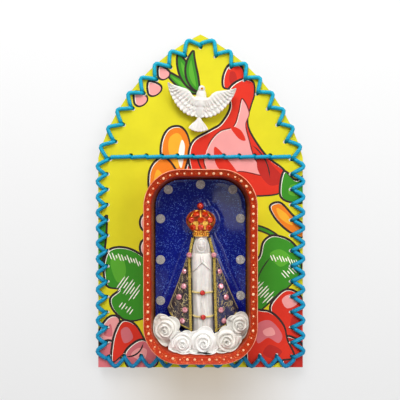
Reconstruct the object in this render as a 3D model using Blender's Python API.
"""Wall shrine: a laced, cloth-covered pointed board with a tin niche, a figure, ribbon roses and a dove.

Frame: +Z up, +X to the viewer's right, +Y into the wall. The origin is on the wall face, on the centre
line, at the height of the middle of the tin. Sizes are in metres.
"""
import math

import bmesh
import bpy
import numpy as np
from mathutils import Matrix, Vector

MM = 0.001

# Board: a rectangle under a pointed arch, heights from the tin's middle
BOARD_WIDTH = 118 * MM
BOARD_DROP = 61 * MM
SIDE_HEIGHT = 121 * MM
ARCH_RISE = 71 * MM
ARCH_RADIUS = 112 * MM
ARCH_STEPS = 10
BACKING_THICKNESS = 3.2 * MM
CARD_THICKNESS = 2.5 * MM
CLOTH_THICKNESS = 0.5 * MM

# Clearances between pieces that touch
GLUE_LINE = 0.1 * MM
SEAT_GAP = 0.25 * MM
CORD_GAP = 0.3 * MM

# Lacing round the edge and stitched line across the springing
LACE_DIAMETER = 1.6 * MM
LANE_GAP = 0.45 * MM
LACE_SLANT = 0.65 * MM
HOLE_INSET = 5.2 * MM
TURN_INSET = 0.5 * MM
TURN_HALF = 0.9 * MM
BOTTOM_STITCHES = 11
SIDE_STITCHES = 13
ARCH_STITCHES = 8
CROSS_STITCHES = 11
CROSS_END_GAP = 4.4 * MM
CROSS_ABOVE_TIN = 8.3 * MM
LACE_TAIL = 3 * MM
BACKING_CLEARANCE = 0.8 * MM

# Tin: a drawn oblong tin, open to the front, with a flat flange and a rolled edge
RIM_WIDTH = 61 * MM
RIM_LENGTH = 104 * MM
RIM_CORNER = 20 * MM
TIN_DEPTH = 22.6 * MM
TIN_WALL = 0.4 * MM
FLANGE_WIDTH = 3.9 * MM
TIN_DRAFT = 0.2 * MM
FLOOR_RADIUS = 0.4 * MM
ROLL_DEPTH = 1.4 * MM
ROLL_WIDTH = 0.9 * MM
ROLL_PROFILE = ((0.7, 1), (0.15, 0.85), (0, 0.5), (0.15, 0.15), (0.5, 0))
CORNER_STEPS = 7

# Panel in the tin and the silver dots on its border
PANEL_THICKNESS = 1.3 * MM
DOT_RADIUS = 2.6 * MM
DOT_THICKNESS = 0.4 * MM
DOT_STEPS = 12
DOT_MARGIN = 0.25 * MM
DOT_CORNER_ANGLE = math.radians(50)
DOT_ROWS = {
    "left": {"upper": 0.775, "middle": 0.04, "lower": -0.69, "foot": -1},
    "right": {"upper": 0.78, "middle": 0.04, "lower": -0.6},
}

# Figure: robe and head in front, the mantle's two halves beside them
MANTLE_TOP = 13.4 * MM
MANTLE_CORNER = -26 * MM
MANTLE_TOP_HALF = 6.6 * MM
MANTLE_SIDE_GAP = 5.45 * MM
MANTLE_FLARE = 1.35
MANTLE_TOP_DEPTH = 5.4 * MM
MANTLE_CORNER_DEPTH = 8 * MM
MANTLE_EDGE = 1.2 * MM
MANTLE_COLUMNS = 6
MANTLE_ROWS = 6
HEM_BOTTOM = -38.5 * MM
ROBE_BOTTOM = -38 * MM
ROBE_SHOULDER = 4 * MM
ROBE_NECK = 5.4 * MM
ROBE_HALF = 5.9 * MM
NECK_HALF = 4.4 * MM
ROBE_DEPTH = 9.4 * MM
NECK_DEPTH = 6.6 * MM
ROBE_ROUNDING = 0.45
ROBE_COLUMNS = (-1, -0.8, -0.4, 0, 0.4, 0.8, 1)
HEAD_HEIGHT = 9.2 * MM
HEAD_SWELL = 1.4 * MM
HEAD_ROWS = 6
FIGURE_SHIFT = 0.7 * MM
FIGURE_LEAN = 0.025
BRAID_DIAMETER = 1.8 * MM
BRAID_STEPS = 8
WAIST_CORD_DIAMETER = 0.9 * MM
WAIST_CORD_COLUMNS = (-0.98, -0.65, -0.3, 0, 0.3, 0.65, 0.98)
WAIST_CORD_HEIGHTS = {"upper": -15.8 * MM, "lower": -29.1 * MM}

# Stones glued to the mantle, the belt cords and the crown
STONE_RADIUS = 1.5 * MM
STONE_THICKNESS = 1.2 * MM
STONE_TABLE = 0.6
STONE_FACETS = 8
SLOPE_STEP = 0.2 * MM
CROWN_STONE_RADIUS = 1.45 * MM
SHOULDER_STONE_HEIGHT = 4.8 * MM
PINK_STONES = {
    "chest": (9.8 * MM, -4.8 * MM),
    "waist": (10.4 * MM, -12.9 * MM),
    "elbow": (13.3 * MM, -19 * MM),
    "knee": (10.1 * MM, -25.8 * MM),
    "hem": (11.7 * MM, -31.8 * MM),
}
CROWN_STONES = {
    "top_left": (-2.6 * MM, 12.4 * MM),
    "top_right": (2.6 * MM, 12.4 * MM),
    "middle_left": (-5.2 * MM, 9.3 * MM),
    "middle": (0, 9.3 * MM),
    "middle_right": (5.2 * MM, 9.3 * MM),
    "lower_left": (-4.3 * MM, 5.2 * MM),
    "lower": (0, 5.2 * MM),
    "lower_right": (4.3 * MM, 5.2 * MM),
}

# Crown: radius against height above its band, flattened from front to back
CROWN_PROFILE = (
    (3.9, 0), (4.3, 0.7), (4.1, 2.6), (5.6, 4.2), (7.5, 7), (7.9, 9.2), (7.2, 11.4), (5.0, 13.6), (1.4, 14.8),
)
CROWN_FLATTEN = 0.6
CROWN_STEPS = 16
FINIAL_RADIUS = 2 * MM
FINIAL_FACETS = (10, 6)

# Roses along the tin's lower wall: place between the side walls, from -1 to 1, and share of the room
ROSES = {
    "rose_left_outer": (-0.972, 0.232),
    "rose_left_inner": (-0.458, 0.2015),
    "rose_middle": (0.088, 0.213),
    "rose_right_inner": (0.707, 0.2053),
    "rose_right_outer": (0.998, 0.1673),
}
ROSE_DEPTH = 9 * MM
ROSE_PROFILE = (
    (0.5, 0), (0.85, 0.3), (1.0, 0.62), (0.94, 0.9), (0.7, 0.95), (0.56, 0.72), (0.42, 0.98), (0.16, 1.0),
)
ROSE_PETALS = 5
ROSE_LOBE = 0.07
ROSE_STEPS = 15

# Dove: half outline of a wing and of the tail, from the middle of its body
DOVE_HEIGHT = 90.7 * MM
DOVE_TILT = math.radians(5)
DOVE_BODY = (3.3 * MM, 2.3 * MM, 8.4 * MM)
DOVE_BODY_FACETS = (14, 10)
DOVE_HEAD_RADIUS = 2 * MM
DOVE_HEAD_FACETS = (12, 8)
DOVE_HEAD_HEIGHT = 8 * MM
WING_THICKNESS = 1.3 * MM
WING_LIFT = math.radians(7)
WING_LEADING = (
    (1.2, -5.5), (1.2, 3.0), (3.4, 3.1), (4.8, 3.7), (6.4, 5.9), (8.5, 7.3), (11.7, 7.9), (15.9, 8.6),
    (19.7, 9.6),
)
WING_FEATHERS = (
    (18.9, 6.3), (17.7, 3.6), (16.1, 1.0), (14.3, -1.5), (12.2, -3.9), (9.8, -5.8), (7.4, -7.0), (5.0, -7.7),
)
FEATHER_NOTCH = 0.95
TAIL_LENGTH = 9.8 * MM
TAIL_ROOT = -6.5 * MM
TAIL_SPREAD = math.radians(36)
TAIL_FEATHERS = 5

# Depths, counted from the wall towards the viewer, which is -Y
BACKING_FRONT = -BACKING_THICKNESS
CARD_BACK = BACKING_FRONT - GLUE_LINE
CARD_FRONT = CARD_BACK - CARD_THICKNESS
CLOTH_BACK = CARD_FRONT - GLUE_LINE
CLOTH_FRONT = CLOTH_BACK - CLOTH_THICKNESS
TIN_BACK = CLOTH_FRONT - GLUE_LINE
TIN_FLOOR = TIN_BACK - TIN_WALL
RIM_FRONT = TIN_BACK - TIN_DEPTH
PANEL_BACK = TIN_FLOOR - GLUE_LINE
PANEL_FRONT = PANEL_BACK - PANEL_THICKNESS
FIGURE_BACK = PANEL_FRONT - GLUE_LINE

LACE_RADIUS = LACE_DIAMETER / 2
LANE = (LACE_DIAMETER + LANE_GAP) / 2
SLOT_HALF_LENGTH = LANE + LACE_RADIUS + CORD_GAP
STITCH_SLOT_HALF = LACE_RADIUS + CORD_GAP
LACE_SLOT_HALF = STITCH_SLOT_HALF + LACE_SLANT
LAY_FRONT = CLOTH_FRONT - CORD_GAP - LACE_RADIUS
LAY_BACK = CARD_BACK + CORD_GAP + LACE_RADIUS
BACKING_INSET = HOLE_INSET + SLOT_HALF_LENGTH + BACKING_CLEARANCE
PANEL_INSET = FLANGE_WIDTH + TIN_DRAFT + FLOOR_RADIUS + SEAT_GAP
MANTLE_CORNER_HALF = RIM_WIDTH / 2 - PANEL_INSET - MANTLE_SIDE_GAP
CROWN_BASE = ROBE_NECK + HEAD_HEIGHT + 2 * SEAT_GAP


def material(name, colour, roughness=0.6, metallic=0.0):
    """A plain material, made once."""
    if name not in bpy.data.materials:
        made = bpy.data.materials.new(name)
        made.use_nodes = True
        shader = made.node_tree.nodes["Principled BSDF"]
        shader.inputs["Base Color"].default_value = (*colour, 1)
        shader.inputs["Roughness"].default_value = roughness
        shader.inputs["Metallic"].default_value = metallic
    return bpy.data.materials[name]


def add(name, data, look):
    """Puts a mesh or curve in the scene as a named piece."""
    piece = bpy.data.objects.new(name, data)
    data.materials.append(look)
    PIECES.objects.link(piece)
    return piece


def mesh_from(name, bm):
    """Turns a bmesh into mesh data with its faces outward."""
    bmesh.ops.recalc_face_normals(bm, faces=bm.faces)
    mesh = bpy.data.meshes.new(name)
    bm.to_mesh(mesh)
    bm.free()
    return mesh


def plate(name, outlines, back, front, look):
    """A flat piece in the XZ plane; outlines after the first are holes."""
    curve = bpy.data.curves.new(name, "CURVE")
    curve.dimensions = "2D"
    curve.fill_mode = "BOTH"
    curve.extrude = (back - front) / 2
    for outline in outlines:
        spline = curve.splines.new("POLY")
        spline.points.add(len(outline) - 1)
        spline.use_cyclic_u = True
        for point, (x, z) in zip(spline.points, outline):
            point.co = (x, z, 0, 1)
    piece = add(name, curve, look)
    piece.rotation_euler.x = math.pi / 2
    piece.location.y = (back + front) / 2
    return piece


def tube(name, points, diameter, look, sides=6):
    """A cord along a path of points."""
    curve = bpy.data.curves.new(name, "CURVE")
    curve.dimensions = "3D"
    curve.bevel_depth = diameter / 2
    curve.bevel_resolution = (sides - 4) // 2
    curve.use_fill_caps = True
    spline = curve.splines.new("POLY")
    spline.points.add(len(points) - 1)
    for point, place in zip(spline.points, points):
        point.co = (*place, 1)
    return add(name, curve, look)


def loft(name, rings, look):
    """A closed body through rings of equally many points, capped at both ends."""
    bm = bmesh.new()
    loops = [[bm.verts.new(point) for point in ring] for ring in rings]
    for low, high in zip(loops, loops[1:]):
        for i in range(len(low)):
            bm.faces.new((low[i - 1], low[i], high[i], high[i - 1]))
    bm.faces.new(loops[0])
    bm.faces.new(loops[-1])
    return add(name, mesh_from(name, bm), look)


def slab(name, outline, back, thickness):
    """Mesh of a plate in the XZ plane without holes, for joining."""
    bm = bmesh.new()
    face = bm.faces.new([bm.verts.new((x, back, z)) for x, z in outline])
    moved = bmesh.ops.extrude_face_region(bm, geom=[face])["geom"]
    verts = [part for part in moved if isinstance(part, bmesh.types.BMVert)]
    bmesh.ops.translate(bm, verts=verts, vec=(0, -thickness, 0))
    return mesh_from(name, bm)


def ball(name, size, place, facets):
    """Mesh of a ball stretched to half sizes along X, Y and Z."""
    bm = bmesh.new()
    shape = Matrix.Translation(place) @ Matrix.Diagonal((*size, 1))
    bmesh.ops.create_uvsphere(bm, u_segments=facets[0], v_segments=facets[1], radius=1, matrix=shape)
    return mesh_from(name, bm)


def helper(name, mesh):
    """A mesh that only joins or cuts another piece."""
    piece = bpy.data.objects.new(name, mesh)
    piece.hide_render = True
    piece.display_type = "WIRE"
    HELPERS.objects.link(piece)
    return piece


def combine(piece, other, operation):
    """Joins or cuts one piece with a helper."""
    step = piece.modifiers.new(other.name, "BOOLEAN")
    step.operation = operation
    step.solver = "EXACT"
    step.object = other


def arch_centre():
    """Centre of the right-hand arc of the arch, in x and z."""
    springing = Vector((BOARD_WIDTH / 2, SIDE_HEIGHT - BOARD_DROP))
    chord = Vector((-BOARD_WIDTH / 2, ARCH_RISE))
    reach = math.sqrt(ARCH_RADIUS**2 - (chord.length / 2) ** 2)
    inward = Vector((-chord.y, chord.x)).normalized()
    return springing + chord / 2 + inward * reach


def half_points(inset):
    """Bottom corner, springing and apex on the right, moved inward from the edge."""
    centre = arch_centre()
    radius = ARCH_RADIUS - inset
    side = BOARD_WIDTH / 2 - inset
    springing = centre.y + math.sqrt(radius**2 - (side - centre.x) ** 2)
    apex = centre.y + math.sqrt(radius**2 - centre.x**2)
    return Vector((side, inset - BOARD_DROP)), Vector((side, springing)), Vector((0, apex))


def arch_angles(inset):
    """Angles of the springing and the apex about the arc's centre."""
    centre = arch_centre()
    springing, apex = [point - centre for point in half_points(inset)[1:]]
    return math.atan2(springing.y, springing.x), math.atan2(apex.y, apex.x)


def board_outline(inset):
    """Closed outline of the board, moved inward."""
    centre = arch_centre()
    start, end = arch_angles(inset)
    right = [tuple(half_points(inset)[0])]
    for k in range(ARCH_STEPS + 1):
        angle = start + (end - start) * k / ARCH_STEPS
        reach = ARCH_RADIUS - inset
        right.append((centre.x + reach * math.cos(angle), centre.y + reach * math.sin(angle)))
    left = [(-x, z) for x, z in reversed(right[:-1])]
    return right + left


def straight_stations(start, end, outward, stitches):
    """Holes and edge points by turns along a straight stretch, without its last hole."""
    steps = 2 * stitches
    return [(start.lerp(end, k / steps) + outward * HOLE_INSET * (k % 2), outward) for k in range(steps)]


def arch_stations():
    """Holes and edge points by turns up the right arch, with the apex hole."""
    centre = arch_centre()
    start, end = arch_angles(HOLE_INSET)
    stations = []
    for k in range(2 * ARCH_STITCHES + 1):
        angle = start + (end - start) * k / (2 * ARCH_STITCHES)
        outward = Vector((math.cos(angle), math.sin(angle)))
        stations.append((centre + outward * (ARCH_RADIUS - HOLE_INSET * (1 - k % 2)), outward))
    return stations


def mirrored(stations):
    """The same stations on the left, met in the other order."""
    flip = Vector((-1, 1))
    return [(point * flip, outward * flip) for point, outward in reversed(stations)]


def lace_stations():
    """All holes and edge points round the board from the bottom left corner."""
    corner, springing, _ = half_points(HOLE_INSET)
    right_side = straight_stations(corner, springing, Vector((1, 0)), SIDE_STITCHES)
    right_arch = arch_stations()
    ring = straight_stations(corner * Vector((-1, 1)), corner, Vector((0, -1)), BOTTOM_STITCHES)
    ring += right_side + right_arch[:-1]
    ring += mirrored(right_arch)[:-1]
    ring += mirrored(right_side + right_arch[:1])[:-1]
    smooth = []
    for k, (point, outward) in enumerate(ring):
        after = ring[(k + 1) % len(ring)][1]
        smooth.append((point, (ring[k - 1][1] + after).normalized() if k % 2 == 0 else outward))
    return smooth


def slot(point, along, half):
    """Outline of an eight-sided slot for two cords, one behind the other along it."""
    across = Vector((-along.y, along.x)) * half
    ends = [along * SLOT_HALF_LENGTH * way for way in (1, -1)]
    flanks = [along * (SLOT_HALF_LENGTH - half / 2) * way for way in (1, -1)]
    steps = [ends[0] - across / 2, ends[0] + across / 2, flanks[0] + across, flanks[1] + across]
    return [tuple(point + step * way) for way in (1, -1) for step in steps]


def lacing_route(stations):
    """One cord twice round: up a hole, to the edge and back, down the next, and the same behind the board."""
    route = []
    for step in range(len(stations)):
        hole, out = stations[2 * step % len(stations)]
        side = 1 if step % 2 else -1
        slant = Vector((-out.y, out.x)) * LACE_SLANT * side
        place = hole + out * LANE * side
        ends = [(*(place + slant), LAY_BACK), (*(place - slant), LAY_FRONT)][::-side]
        edge, out = stations[(2 * step + 1) % len(stations)]
        half = Vector((-out.y, out.x)) * TURN_HALF
        turn = [(*(edge - out * TURN_INSET + half * way), ends[1][2]) for way in (-1, 1)]
        route += ends + turn
    first = Vector(route[0][:2])
    last = Vector(route[-1][:2])
    route.append((*(first + (last - first).normalized() * LACE_TAIL), LAY_BACK))
    return [(x, y, z) for x, z, y in route]


def half_width(inset, level):
    """Half width of the board at a height, moved inward."""
    _, springing, _ = half_points(inset)
    if level <= springing.y:
        return springing.x
    centre = arch_centre()
    return centre.x + math.sqrt((ARCH_RADIUS - inset) ** 2 - (level - centre.y) ** 2)


def cross_holes():
    """Places of the holes of the stitched line over the tin, from left to right."""
    level = RIM_LENGTH / 2 + CROSS_ABOVE_TIN
    end = half_width(HOLE_INSET, level) - CROSS_END_GAP
    return [Vector((-end + 2 * end * k / CROSS_STITCHES, level)) for k in range(CROSS_STITCHES + 1)]


def cross_route():
    """A double running stitch: out along every second stitch, and back along the others."""
    holes = cross_holes()
    up = Vector((0, LANE))
    route = []
    for k, hole in enumerate(holes):
        place = hole + up * (1 if k % 2 else -1)
        ends = (LAY_FRONT, LAY_BACK) if k % 2 else (LAY_BACK, LAY_FRONT)
        route += [(place.x, y, place.y) for y in ends]
    for k in range(len(holes) - 2, 0, -1):
        place = holes[k] + up * (-1 if k % 2 else 1)
        ends = (LAY_FRONT, LAY_BACK) if k % 2 else (LAY_BACK, LAY_FRONT)
        route += [(place.x, y, place.y) for y in ends]
    route.append((holes[0].x + LACE_TAIL, LAY_BACK, holes[0].y))
    return route


def least_gap(route, diameter):
    """Least clear distance between stretches of a cord that are over four diameters apart along it."""
    corners = np.array(route)
    steps = np.linspace(0, 1, 4, endpoint=False)[:, None, None]
    spots = (corners[:-1] + (corners[1:] - corners[:-1]) * steps).swapaxes(0, 1).reshape(-1, 3)
    travelled = np.cumsum(np.linalg.norm(np.diff(spots, axis=0, prepend=spots[:1]), axis=1))
    apart = np.linalg.norm(spots[:, None] - spots[None], axis=2)
    apart[np.abs(travelled[:, None] - travelled[None]) < 4 * diameter] = BOARD_WIDTH
    return apart.min() - diameter


def rounded_rectangle(inset):
    """Outline of the tin's rim, moved inward."""
    half_x = RIM_WIDTH / 2 - RIM_CORNER
    half_z = RIM_LENGTH / 2 - RIM_CORNER
    radius = RIM_CORNER - inset
    points = []
    for corner, (sx, sz) in enumerate(((1, 1), (-1, 1), (-1, -1), (1, -1))):
        for k in range(CORNER_STEPS + 1):
            angle = math.pi / 2 * (corner + k / CORNER_STEPS)
            points.append((sx * half_x + radius * math.cos(angle), sz * half_z + radius * math.sin(angle)))
    return points


def build_board(looks):
    """Back panel, card and cloth, with the slots for the cords."""
    stations = lace_stations()
    slots = [slot(point, out, LACE_SLOT_HALF) for point, out in stations[::2]]
    slots += [slot(point, Vector((0, 1)), STITCH_SLOT_HALF) for point in cross_holes()]
    plate("backboard", [board_outline(0)] + slots, CARD_BACK, CARD_FRONT, looks["card"])
    plate("front_cloth", [board_outline(0)] + slots, CLOTH_BACK, CLOTH_FRONT, looks["cloth"])
    outline = board_outline(BACKING_INSET)
    panel = add("back_panel", slab("back_panel", outline, 0, BACKING_THICKNESS), looks["backing"])
    low, high = [cross_holes()[0].y + SLOT_HALF_LENGTH * way for way in (-1, 1)]
    band = [(BOARD_WIDTH, low), (BOARD_WIDTH, high), (-BOARD_WIDTH, high), (-BOARD_WIDTH, low)]
    bottom = LAY_BACK + LACE_RADIUS + CORD_GAP
    combine(panel, helper("stitch_groove", slab("stitch_groove", band, bottom, BOARD_WIDTH)), "DIFFERENCE")
    for name, route in (("edge_lacing", lacing_route(stations)), ("cross_stitch", cross_route())):
        tube(name, route, LACE_DIAMETER, looks["cord"])
        print(name, "least gap mm", round(least_gap(route, LACE_DIAMETER) / MM, 2))


def dot_places():
    """Places of the silver dots round the panel's border: top, corners, and rows down the straight sides."""
    inset = PANEL_INSET + DOT_MARGIN + DOT_RADIUS
    straight = RIM_LENGTH / 2 - RIM_CORNER
    corner_x = RIM_WIDTH / 2 - RIM_CORNER + (RIM_CORNER - inset) * math.cos(DOT_CORNER_ANGLE)
    corner_z = straight + (RIM_CORNER - inset) * math.sin(DOT_CORNER_ANGLE)
    places = {"top": (0, RIM_LENGTH / 2 - inset)}
    for side, word in ((-1, "left"), (1, "right")):
        places["top_" + word] = (side * corner_x, corner_z)
        for row, share in DOT_ROWS[word].items():
            places[f"{row}_{word}"] = (side * (RIM_WIDTH / 2 - inset), straight * share)
    return places


def build_tin(looks):
    """Tin, glitter panel and silver dots."""
    outer = FLANGE_WIDTH - TIN_WALL
    floor_in = FLANGE_WIDTH + TIN_DRAFT
    bend = FLOOR_RADIUS * (1 - math.sqrt(0.5))
    flange_back = RIM_FRONT + 2 * TIN_WALL
    profile = (
        (outer + TIN_DRAFT + FLOOR_RADIUS, TIN_BACK),
        (outer + TIN_DRAFT + bend, TIN_BACK - bend),
        (outer + TIN_DRAFT, TIN_BACK - FLOOR_RADIUS),
        (outer, flange_back),
        (ROLL_WIDTH, flange_back),
        *[(ROLL_WIDTH * inset, RIM_FRONT + ROLL_DEPTH * depth) for inset, depth in ROLL_PROFILE],
        (ROLL_WIDTH, RIM_FRONT + TIN_WALL),
        (FLANGE_WIDTH, RIM_FRONT + TIN_WALL),
        (floor_in, TIN_FLOOR - FLOOR_RADIUS),
        (floor_in + bend, TIN_FLOOR - bend),
        (floor_in + FLOOR_RADIUS, TIN_FLOOR),
    )
    rings = [[(x, y, z) for x, z in rounded_rectangle(inset)] for inset, y in profile]
    loft("tin", rings, looks["tin"])
    plate("glitter_panel", [rounded_rectangle(PANEL_INSET)], PANEL_BACK, PANEL_FRONT, looks["panel"])
    for spot, (x, z) in dot_places().items():
        name = "silver_dot_" + spot
        angles = [2 * math.pi * k / DOT_STEPS for k in range(DOT_STEPS)]
        ring = [(x + DOT_RADIUS * math.cos(angle), z + DOT_RADIUS * math.sin(angle)) for angle in angles]
        add(name, slab(name, ring, PANEL_FRONT - GLUE_LINE, DOT_THICKNESS), looks["silver"])


def along(value, start, end):
    """Share of the way from start to end."""
    return (value - start) / (end - start)


def robe_half(z):
    """Half width of the white front at a height: narrow at the neck, then straight."""
    share = min(1, max(0, along(z, MANTLE_TOP, ROBE_SHOULDER)))
    return NECK_HALF + (ROBE_HALF - NECK_HALF) * share


def robe_front(x, z):
    """How far the robe stands out from the panel."""
    share = min(1, max(0, along(z, ROBE_NECK, ROBE_BOTTOM)))
    depth = NECK_DEPTH + (ROBE_DEPTH - NECK_DEPTH) * math.sqrt(share)
    return depth * (1 - ROBE_ROUNDING * (x / robe_half(z)) ** 2)


def veil_front(x, z):
    """How far the veiled head stands out from the panel: most at the face."""
    swell = HEAD_SWELL * math.sin(math.pi * along(z, ROBE_NECK, CROWN_BASE))
    return (NECK_DEPTH + swell) * (1 - ROBE_ROUNDING * (x / robe_half(z)) ** 2)


def mantle_half(z):
    """Half width of the mantle at a height: it flares towards its corners."""
    share = max(0, along(z, MANTLE_TOP, MANTLE_CORNER))
    return MANTLE_TOP_HALF + (MANTLE_CORNER_HALF - MANTLE_TOP_HALF) * share**MANTLE_FLARE


def mantle_front(x, z):
    """How far the mantle stands out from the panel."""
    share = along(z, MANTLE_TOP, MANTLE_CORNER)
    depth = MANTLE_TOP_DEPTH + (MANTLE_CORNER_DEPTH - MANTLE_TOP_DEPTH) * share
    rise = max(0, 1 - (x / mantle_half(z)) ** 2)
    return MANTLE_EDGE + (depth - MANTLE_EDGE) * math.sqrt(rise)


def hem(x):
    """Height of the mantle's curved hem."""
    drop = MANTLE_CORNER - HEM_BOTTOM
    radius = (MANTLE_CORNER_HALF**2 + drop**2) / (2 * drop)
    return HEM_BOTTOM + radius - math.sqrt(radius**2 - x**2)


def mantle_ring(side, share):
    """Section of one half of the mantle, part of the way down to the hem."""
    front = []
    for k in range(MANTLE_COLUMNS + 1):
        out = 1 - (1 - k / MANTLE_COLUMNS) ** 2
        top = (robe_half(MANTLE_TOP) + SEAT_GAP) * (1 - out) + MANTLE_TOP_HALF * out
        low = (ROBE_HALF + SEAT_GAP) * (1 - out) + MANTLE_CORNER_HALF * out
        z = MANTLE_TOP + (hem(low) - MANTLE_TOP) * share
        x = max(top + (low - top) * share**MANTLE_FLARE, robe_half(z) + SEAT_GAP)
        front.append((x, z))
    ring = [(side * x, FIGURE_BACK - mantle_front(x, z), z) for x, z in front]
    return ring + [(ring[-1][0], FIGURE_BACK, ring[-1][2]), (ring[0][0], FIGURE_BACK, ring[0][2])]


def seat(surface, x, z):
    """Point and outward direction on a surface given by its depth at x and z."""
    step = SLOPE_STEP
    slope_x = (surface(x + step, z) - surface(x - step, z)) / (2 * step)
    slope_z = (surface(x, z + step) - surface(x, z - step)) / (2 * step)
    return Vector((x, FIGURE_BACK - surface(x, z), z)), Vector((-slope_x, -1, -slope_z)).normalized()


def stone(name, place, outward, radius, look):
    """A cut stone with a flat back, seated on a surface."""
    bm = bmesh.new()
    sizes = {"radius1": radius, "radius2": radius * STONE_TABLE, "depth": STONE_THICKNESS}
    bmesh.ops.create_cone(bm, cap_ends=True, segments=STONE_FACETS, **sizes)
    piece = add(name, mesh_from(name, bm), look)
    piece.rotation_euler = outward.to_track_quat("Z", "Y").to_euler()
    piece.location = place + outward * (SEAT_GAP + STONE_THICKNESS / 2)


def front_ring(surface, z):
    """Section of the white front at a height."""
    half = robe_half(z)
    ring = [(x * half, FIGURE_BACK - surface(x * half, z), z) for x in ROBE_COLUMNS]
    return ring + [(half, FIGURE_BACK, z), (-half, FIGURE_BACK, z)]


def build_figure(looks):
    """Robe, head, mantle, braids and belt cords with their stones."""
    heights = (ROBE_BOTTOM, ROBE_BOTTOM / 2, ROBE_SHOULDER, (ROBE_SHOULDER + ROBE_NECK) / 2, ROBE_NECK)
    loft("robe", [front_ring(robe_front, z) for z in heights], looks["white"])
    chin = ROBE_NECK + SEAT_GAP
    heights = sorted([chin + HEAD_HEIGHT * k / HEAD_ROWS for k in range(HEAD_ROWS + 1)] + [MANTLE_TOP])
    loft("head", [front_ring(veil_front, z) for z in heights], looks["white"])
    for side, word in ((-1, "left"), (1, "right")):
        shoulder = along(ROBE_SHOULDER, MANTLE_TOP, hem(ROBE_HALF + SEAT_GAP))
        shares = sorted([k / MANTLE_ROWS for k in range(MANTLE_ROWS + 1)] + [shoulder])
        loft("mantle_" + word, [mantle_ring(side, share) for share in shares], looks["mantle"])
        build_braid(side, word, looks)
        ahead = Vector((0, -1, 0))
        place = braid_centre(side, SHOULDER_STONE_HEIGHT) + ahead * BRAID_DIAMETER / 2
        stone("pink_stone_shoulder_" + word, place, ahead, STONE_RADIUS, looks["pink"])
        for spot, (x, z) in PINK_STONES.items():
            place, outward = seat(mantle_front, side * x, z)
            stone(f"pink_stone_{spot}_{word}", place, outward, STONE_RADIUS, looks["pink"])
    for word, z in WAIST_CORD_HEIGHTS.items():
        reach = WAIST_CORD_DIAMETER / 2 + SEAT_GAP
        spots = [ROBE_HALF * share for share in WAIST_CORD_COLUMNS]
        path = [(x, FIGURE_BACK - robe_front(x, z) - reach, z) for x in spots]
        tube("waist_cord_" + word, path, WAIST_CORD_DIAMETER, looks["gold"])
        place = Vector((0, FIGURE_BACK - robe_front(0, z) - reach - WAIST_CORD_DIAMETER / 2, z))
        stone("red_stone_" + word, place, Vector((0, -1, 0)), STONE_RADIUS, looks["red"])


def braid_centre(side, z):
    """Middle of the gold braid at a height: it lies on the mantle beside the robe."""
    inner = robe_half(z) + SEAT_GAP
    reach = SEAT_GAP + BRAID_DIAMETER / 2
    return Vector((side * (inner + BRAID_DIAMETER / 2), FIGURE_BACK - mantle_front(inner, z) - reach, z))


def build_braid(side, word, looks):
    """Gold braid down one side of the robe."""
    top = MANTLE_TOP - BRAID_DIAMETER / 2
    bottom = ROBE_BOTTOM + BRAID_DIAMETER / 2
    path = [braid_centre(side, top + (bottom - top) * k / BRAID_STEPS) for k in range(BRAID_STEPS + 1)]
    tube("braid_" + word, path, BRAID_DIAMETER, looks["gold"])


def lean(z):
    """How far the figure stands to the right of the centre line at a height."""
    return FIGURE_SHIFT - FIGURE_LEAN * z


def lean_figure(pieces):
    """Leans the figure's pieces together: stones are moved whole, the others sheared."""
    shear = Matrix(((1, 0, -FIGURE_LEAN, FIGURE_SHIFT), (0, 1, 0, 0), (0, 0, 1, 0), (0, 0, 0, 1)))
    for piece in pieces:
        if "stone" in piece.name:
            piece.location.x += lean(piece.location.z)
        else:
            piece.data.transform(shear)


def crown_radius(height):
    """Radius of the crown at a height above its band."""
    for (r0, h0), (r1, h1) in zip(CROWN_PROFILE, CROWN_PROFILE[1:]):
        if height <= h1 * MM:
            return (r0 + (r1 - r0) * along(height, h0 * MM, h1 * MM)) * MM
    return CROWN_PROFILE[-1][0] * MM


def crown_axis():
    """How far the crown's axis stands out from the panel."""
    return SEAT_GAP + CROWN_FLATTEN * MM * max(radius for radius, _ in CROWN_PROFILE)


def crown_front(x, z):
    """How far the crown stands out from the panel."""
    return crown_axis() + CROWN_FLATTEN * math.sqrt(max(0, crown_radius(z - CROWN_BASE) ** 2 - x**2))


def build_crown(looks):
    """Closed crown with its stones and the bead on top."""
    axis = crown_axis()
    rings = []
    for radius, height in CROWN_PROFILE:
        ring = []
        for k in range(CROWN_STEPS):
            angle = 2 * math.pi * (k + 0.5) / CROWN_STEPS
            y = FIGURE_BACK - axis - CROWN_FLATTEN * radius * MM * math.sin(angle)
            ring.append((radius * MM * math.cos(angle), y, CROWN_BASE + height * MM))
        rings.append(ring)
    loft("crown", rings, looks["crown"])
    for word, (x, height) in CROWN_STONES.items():
        place, outward = seat(crown_front, x, CROWN_BASE + height)
        stone("crown_stone_" + word, place, outward, CROWN_STONE_RADIUS, looks["red"])
    top = CROWN_BASE + CROWN_PROFILE[-1][1] * MM + SEAT_GAP + FINIAL_RADIUS
    place = (0, FIGURE_BACK - axis, top)
    bead = ball("crown_bead", (FINIAL_RADIUS,) * 3, place, FINIAL_FACETS)
    add("crown_bead", bead, looks["red"])


def rose_place(across, size):
    """Where a rose lies on the tin's lower wall, as x, z and radius."""
    room = RIM_WIDTH / 2 - FLANGE_WIDTH - TIN_DRAFT
    radius = room * size
    reach = RIM_CORNER - RIM_WIDTH / 2 + room - radius - SEAT_GAP
    x = across * (room - radius - SEAT_GAP)
    past = max(0, abs(x) - (RIM_WIDTH / 2 - RIM_CORNER))
    return x, RIM_CORNER - RIM_LENGTH / 2 - math.sqrt(reach**2 - past**2), radius


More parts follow.
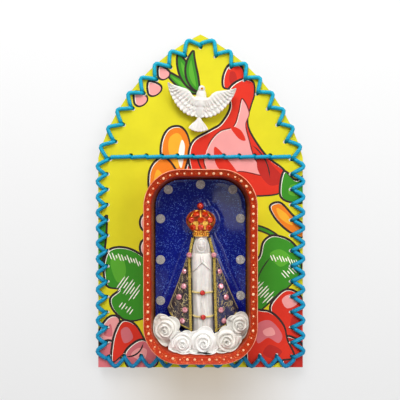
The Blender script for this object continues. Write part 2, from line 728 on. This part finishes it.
def rose_back(x, z, radius):
    """Depth of a rose's back: on the robe or the mantle where one is behind it, else on the panel."""
    spots = [abs(x - lean(z)) + radius * k / 4 for k in range(-4, 1)]
    top = z + radius
    behind = [mantle_front(p, z) for p in spots if p < MANTLE_CORNER_HALF and hem(p) < top]
    behind += [robe_front(p, z) for p in spots if abs(p) < ROBE_HALF and ROBE_BOTTOM < top]
    return FIGURE_BACK - SEAT_GAP - max(behind, default=0)


def build_roses(looks):
    """Five ribbon roses at the figure's feet."""
    for number, (name, (across, size)) in enumerate(ROSES.items()):
        x, z, radius = rose_place(across, size)
        back = rose_back(x, z, radius)
        rings = []
        for share, depth in ROSE_PROFILE:
            ring = []
            for k in range(ROSE_STEPS):
                angle = 2 * math.pi * k / ROSE_STEPS
                lobe = 1 - ROSE_LOBE * (1 - math.cos(ROSE_PETALS * angle + number + depth * 2))
                reach = radius * share * lobe
                y = back - ROSE_DEPTH * depth
                ring.append((x + reach * math.cos(angle), y, z + reach * math.sin(angle)))
            rings.append(ring)
        loft(name, rings, looks["ribbon"])


def wing_outline():
    """Outline of the right wing with notched feathers along its lower edge."""
    points = list(WING_LEADING)
    last = WING_LEADING[-1]
    for x, z in WING_FEATHERS:
        points.append(((last[0] + x) / 2 * FEATHER_NOTCH, (last[1] + z) / 2 * FEATHER_NOTCH))
        points.append((x, z))
        last = (x, z)
    return [(x * MM, z * MM) for x, z in points]


def tail_outline():
    """Outline of the fanned tail."""
    points = [(side * DOVE_BODY[0] / 2, TAIL_ROOT + TAIL_LENGTH / 3) for side in (1, -1)]
    for k in range(2 * TAIL_FEATHERS + 1):
        angle = TAIL_SPREAD * (k / TAIL_FEATHERS - 1)
        reach = TAIL_LENGTH * (1 if k % 2 else FEATHER_NOTCH)
        points.append((reach * math.sin(angle), TAIL_ROOT - reach * math.cos(angle)))
    return points


def build_dove(looks):
    """White dove in flight, joined into one body."""
    half = DOVE_BODY[1]
    dove = add("dove", ball("dove", DOVE_BODY, (0, 0, 0), DOVE_BODY_FACETS), looks["dove"])
    place = (0, -half / 3, DOVE_HEAD_HEIGHT)
    head = ball("dove_head", (DOVE_HEAD_RADIUS,) * 3, place, DOVE_HEAD_FACETS)
    combine(dove, helper("dove_head", head), "UNION")
    for side, word in ((-1, "left"), (1, "right")):
        outline = [(side * x, z) for x, z in wing_outline()]
        wing = slab("dove_wing_" + word, outline, WING_THICKNESS / 2, WING_THICKNESS)
        wing.transform(Matrix.Rotation(-side * WING_LIFT, 4, "Z"))
        combine(dove, helper("dove_wing_" + word, wing), "UNION")
    tail = slab("dove_tail", tail_outline(), WING_THICKNESS / 2, WING_THICKNESS)
    combine(dove, helper("dove_tail", tail), "UNION")
    for other in HELPERS.objects:
        if other.name.startswith("dove"):
            other.parent = dove
    dove.location = (0, CLOTH_FRONT - SEAT_GAP - half, DOVE_HEIGHT)
    dove.rotation_euler.y = DOVE_TILT


def main():
    """Builds every piece."""
    looks = {
        "backing": material("back_card", (0.42, 0.34, 0.25), 0.9),
        "card": material("board_card", (0.45, 0.36, 0.26), 0.9),
        "cloth": material("printed_cotton", (0.8, 0.7, 0.05), 0.85),
        "cord": material("blue_cord", (0.01, 0.33, 0.65), 0.5),
        "tin": material("red_paint", (0.58, 0.03, 0.01), 0.35),
        "panel": material("blue_glitter", (0.01, 0.015, 0.22), 0.3),
        "silver": material("silver_foil", (0.4, 0.4, 0.42), 0.4, 1.0),
        "white": material("white_paint", (0.8, 0.78, 0.74), 0.6),
        "ribbon": material("white_ribbon", (0.82, 0.8, 0.78), 0.5),
        "dove": material("dove_plaster", (0.85, 0.83, 0.8), 0.6),
        "mantle": material("mantle_paint", (0.01, 0.01, 0.04), 0.4),
        "gold": material("gold_braid", (0.6, 0.38, 0.08), 0.45, 1.0),
        "crown": material("gold_crown", (0.6, 0.38, 0.08), 0.3, 1.0),
        "pink": material("pink_crystal", (0.75, 0.25, 0.3), 0.1),
        "red": material("red_crystal", (0.7, 0.03, 0.02), 0.1),
    }
    build_board(looks)
    build_tin(looks)
    others = set(PIECES.objects.keys())
    build_figure(looks)
    build_crown(looks)
    lean_figure([piece for piece in PIECES.objects if piece.name not in others])
    build_roses(looks)
    build_dove(looks)


for old in list(bpy.data.objects):
    bpy.data.objects.remove(old)
PIECES = bpy.data.collections.new("tin_chapel_shrine")
HELPERS = bpy.data.collections.new("helpers")
for group in (PIECES, HELPERS):
    bpy.context.scene.collection.children.link(group)
main()
